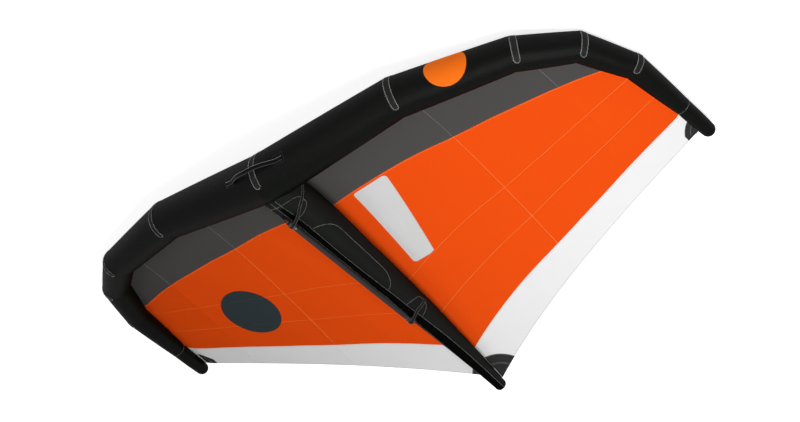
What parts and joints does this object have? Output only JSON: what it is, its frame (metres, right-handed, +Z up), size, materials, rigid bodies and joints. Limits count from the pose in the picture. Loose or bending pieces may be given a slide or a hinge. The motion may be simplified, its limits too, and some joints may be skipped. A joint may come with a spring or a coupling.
{
  "type": "inflatable foil wing",
  "caption": "Hand-held inflatable wing: kinked tube leading edge, strut, boom on slings, sewn canopy with windows; laid on its back.",
  "frame": {"origin": "centre of the bounding box's bottom, on the ground that the leading edge's shoulders lie on", "axes": "+X across the span towards the half that holds the valve, +Y aft along the strut, +Z up; the wing lies on its back, so the strut and the boom are on top"},
  "size_m": [4.0292, 2.2836, 0.6626],
  "materials": {
    "black_sailcloth": "woven, matt",
    "black_strip": "woven, matt",
    "grey_ripstop": "ripstop, matt",
    "orange_ripstop": "ripstop, matt",
    "white_ripstop": "ripstop, matt",
    "window_film": "clear film",
    "dark_patch_cloth": "woven, matt",
    "black_webbing": "webbing",
    "bladder_film": "film",
    "boom_carbon": "satin laminate",
    "boom_grip_foam": "fine foam",
    "moulded_black": "moulded",
    "moulded_grey": "moulded",
    "hose_plastic": "smooth"
  },
  "bodies": {
    "wing": {"boom_end_front": "moulded_black", "boom_end_rear": "moulded_black", "boom_grip": "boom_grip_foam", "boom_strap_front": "black_webbing", "boom_strap_rear": "black_webbing", "boom_tube": "boom_carbon", "canopy_aft_inner_left": "orange_ripstop", "canopy_aft_inner_right": "orange_ripstop", "canopy_aft_outer_left": "orange_ripstop", "canopy_aft_outer_right": "orange_ripstop", "canopy_front_inner_left": "grey_ripstop", "canopy_front_inner_right": "grey_ripstop", "canopy_front_middle_left": "grey_ripstop", "canopy_front_middle_right": "grey_ripstop", "canopy_front_tip_left": "grey_ripstop", "canopy_front_tip_right": "grey_ripstop", "canopy_main_inner_left": "orange_ripstop", "canopy_main_inner_right": "orange_ripstop", "canopy_main_outer_left": "orange_ripstop", "canopy_main_outer_right": "orange_ripstop", "canopy_tail_patch_left": "dark_patch_cloth", "canopy_tail_patch_right": "dark_patch_cloth", "canopy_tip_patch_left": "dark_patch_cloth", "canopy_tip_patch_right": "dark_patch_cloth", "canopy_trailing_left": "white_ripstop", "canopy_trailing_right": "white_ripstop", "hose_clip_body": "moulded_black", "hose_port_leading_edge": "moulded_black", "hose_port_strut": "moulded_black", "le_bladder": "bladder_film", "le_handle": "black_webbing", "le_sleeve_centre_left": "black_sailcloth", "le_sleeve_centre_right": "black_sailcloth", "le_sleeve_mid_left": "black_sailcloth", "le_sleeve_mid_right": "black_sailcloth", "le_sleeve_outer_left": "black_sailcloth", "le_sleeve_outer_right": "black_sailcloth", "le_sleeve_shoulder_left": "black_sailcloth", "le_sleeve_shoulder_right": "black_sailcloth", "le_sleeve_tip_left": "black_sailcloth", "le_sleeve_tip_right": "black_sailcloth", "le_tip_cap_left": "black_sailcloth", "le_tip_cap_right": "black_sailcloth", "strut_bladder": "bladder_film", "strut_bottom_strip": "black_strip", "strut_patch_front": "black_sailcloth", "strut_patch_middle": "black_sailcloth", "strut_patch_rear": "black_sailcloth", "strut_sleeve": "black_sailcloth", "strut_tail_cap": "black_sailcloth", "strut_web": "black_sailcloth", "transfer_hose": "hose_plastic", "valve_base": "moulded_black", "window_left": "window_film", "window_right": "window_film"},
    "valve_insert": {"valve_insert": "moulded_grey"},
    "valve_flap": {"valve_flap": "moulded_black"},
    "valve_cap": {"valve_cap": "moulded_grey"},
    "clip_lever": {"hose_clip_lever": "moulded_grey"}
  },
  "joints": [
    {"name": "valve_insert_turn", "type": "hinge", "parent": "wing", "child": "valve_insert", "pos_m": [0.32428, -0.95758, 0.20062], "axis": [-0.141, -0.1618, -0.9767], "range_deg": [0, 60]},
    {"name": "valve_flap_hinge", "type": "hinge", "parent": "valve_insert", "child": "valve_flap", "pos_m": [0.31321, -0.95704, 0.21114], "axis": [0.0941, -0.9843, 0.1494], "range_deg": [0, 40]},
    {"name": "valve_cap_hinge", "type": "hinge", "parent": "wing", "child": "valve_cap", "pos_m": [0.35117, -0.95694, 0.18793], "axis": [0.0941, -0.9843, 0.1494], "range_deg": [0, 150]},
    {"name": "hose_clip_hinge", "type": "hinge", "parent": "wing", "child": "clip_lever", "pos_m": [0.20716, -0.70552, 0.34637], "axis": [-0.3967, 0.8711, 0.2895], "range_deg": [0, 60]}
  ]
}
